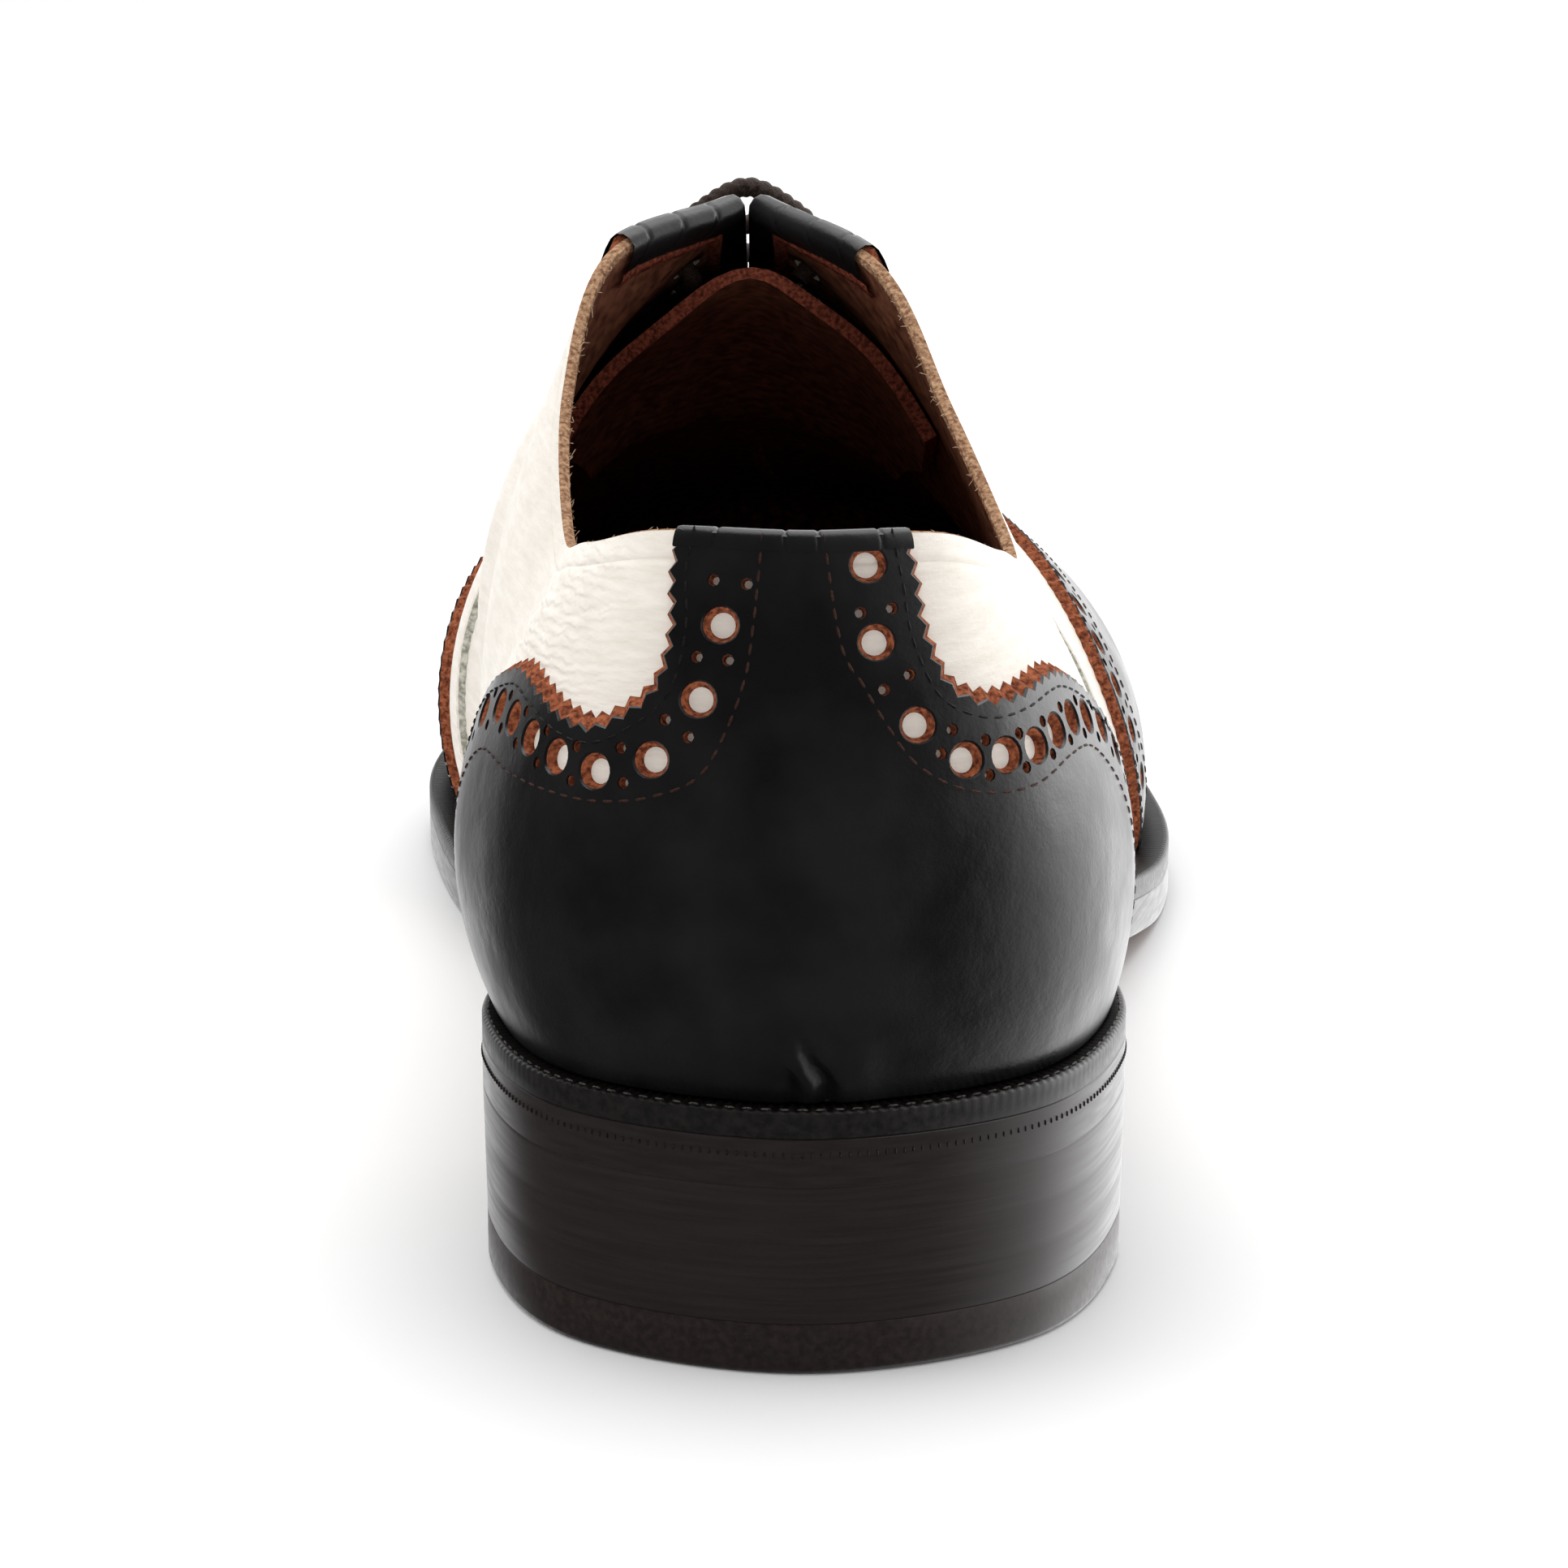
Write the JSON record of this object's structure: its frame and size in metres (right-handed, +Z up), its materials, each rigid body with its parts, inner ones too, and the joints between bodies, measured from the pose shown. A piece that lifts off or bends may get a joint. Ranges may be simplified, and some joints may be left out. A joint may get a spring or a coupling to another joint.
{
  "type": "spectator shoe",
  "caption": "Empty two-tone full-brogue oxford for the right foot, with a wing tip, facings, counter, welted sole and stacked heel.",
  "frame": {"origin": "on the floor, under the middle of the shoe's bounding box", "axes": "+Z up, +Y from the heel to the toe, +X towards the outer side of the right foot"},
  "size_m": [0.1092, 0.3028, 0.111],
  "materials": {
    "white_leather": "smooth white calf, semi-matt, fine wrinkles",
    "black_leather": "polished black calf, soft wide highlights",
    "tongue_leather": "brown lining leather, raw suede edge",
    "insole_leather": "natural brown leather, matt",
    "sole_leather": "mahogany stained and waxed leather",
    "edge_leather": "black waxed edge, satin",
    "heel_leather": "stacked leather, brown-black and satin",
    "heel_rubber": "black heel rubber, satin",
    "lace_cotton": "round waxed cotton braid"
  },
  "bodies": {
    "root": {"upper": "white_leather", "toe_wing": "black_leather", "counter": "black_leather", "facing_outer": "black_leather", "facing_inner": "black_leather", "tongue": "tongue_leather", "lace": "lace_cotton", "insole": "insole_leather", "welt": "edge_leather", "outsole": "sole_leather", "heel_stack": "heel_leather", "heel_top_piece": "heel_rubber"}
  },
  "joints": []
}
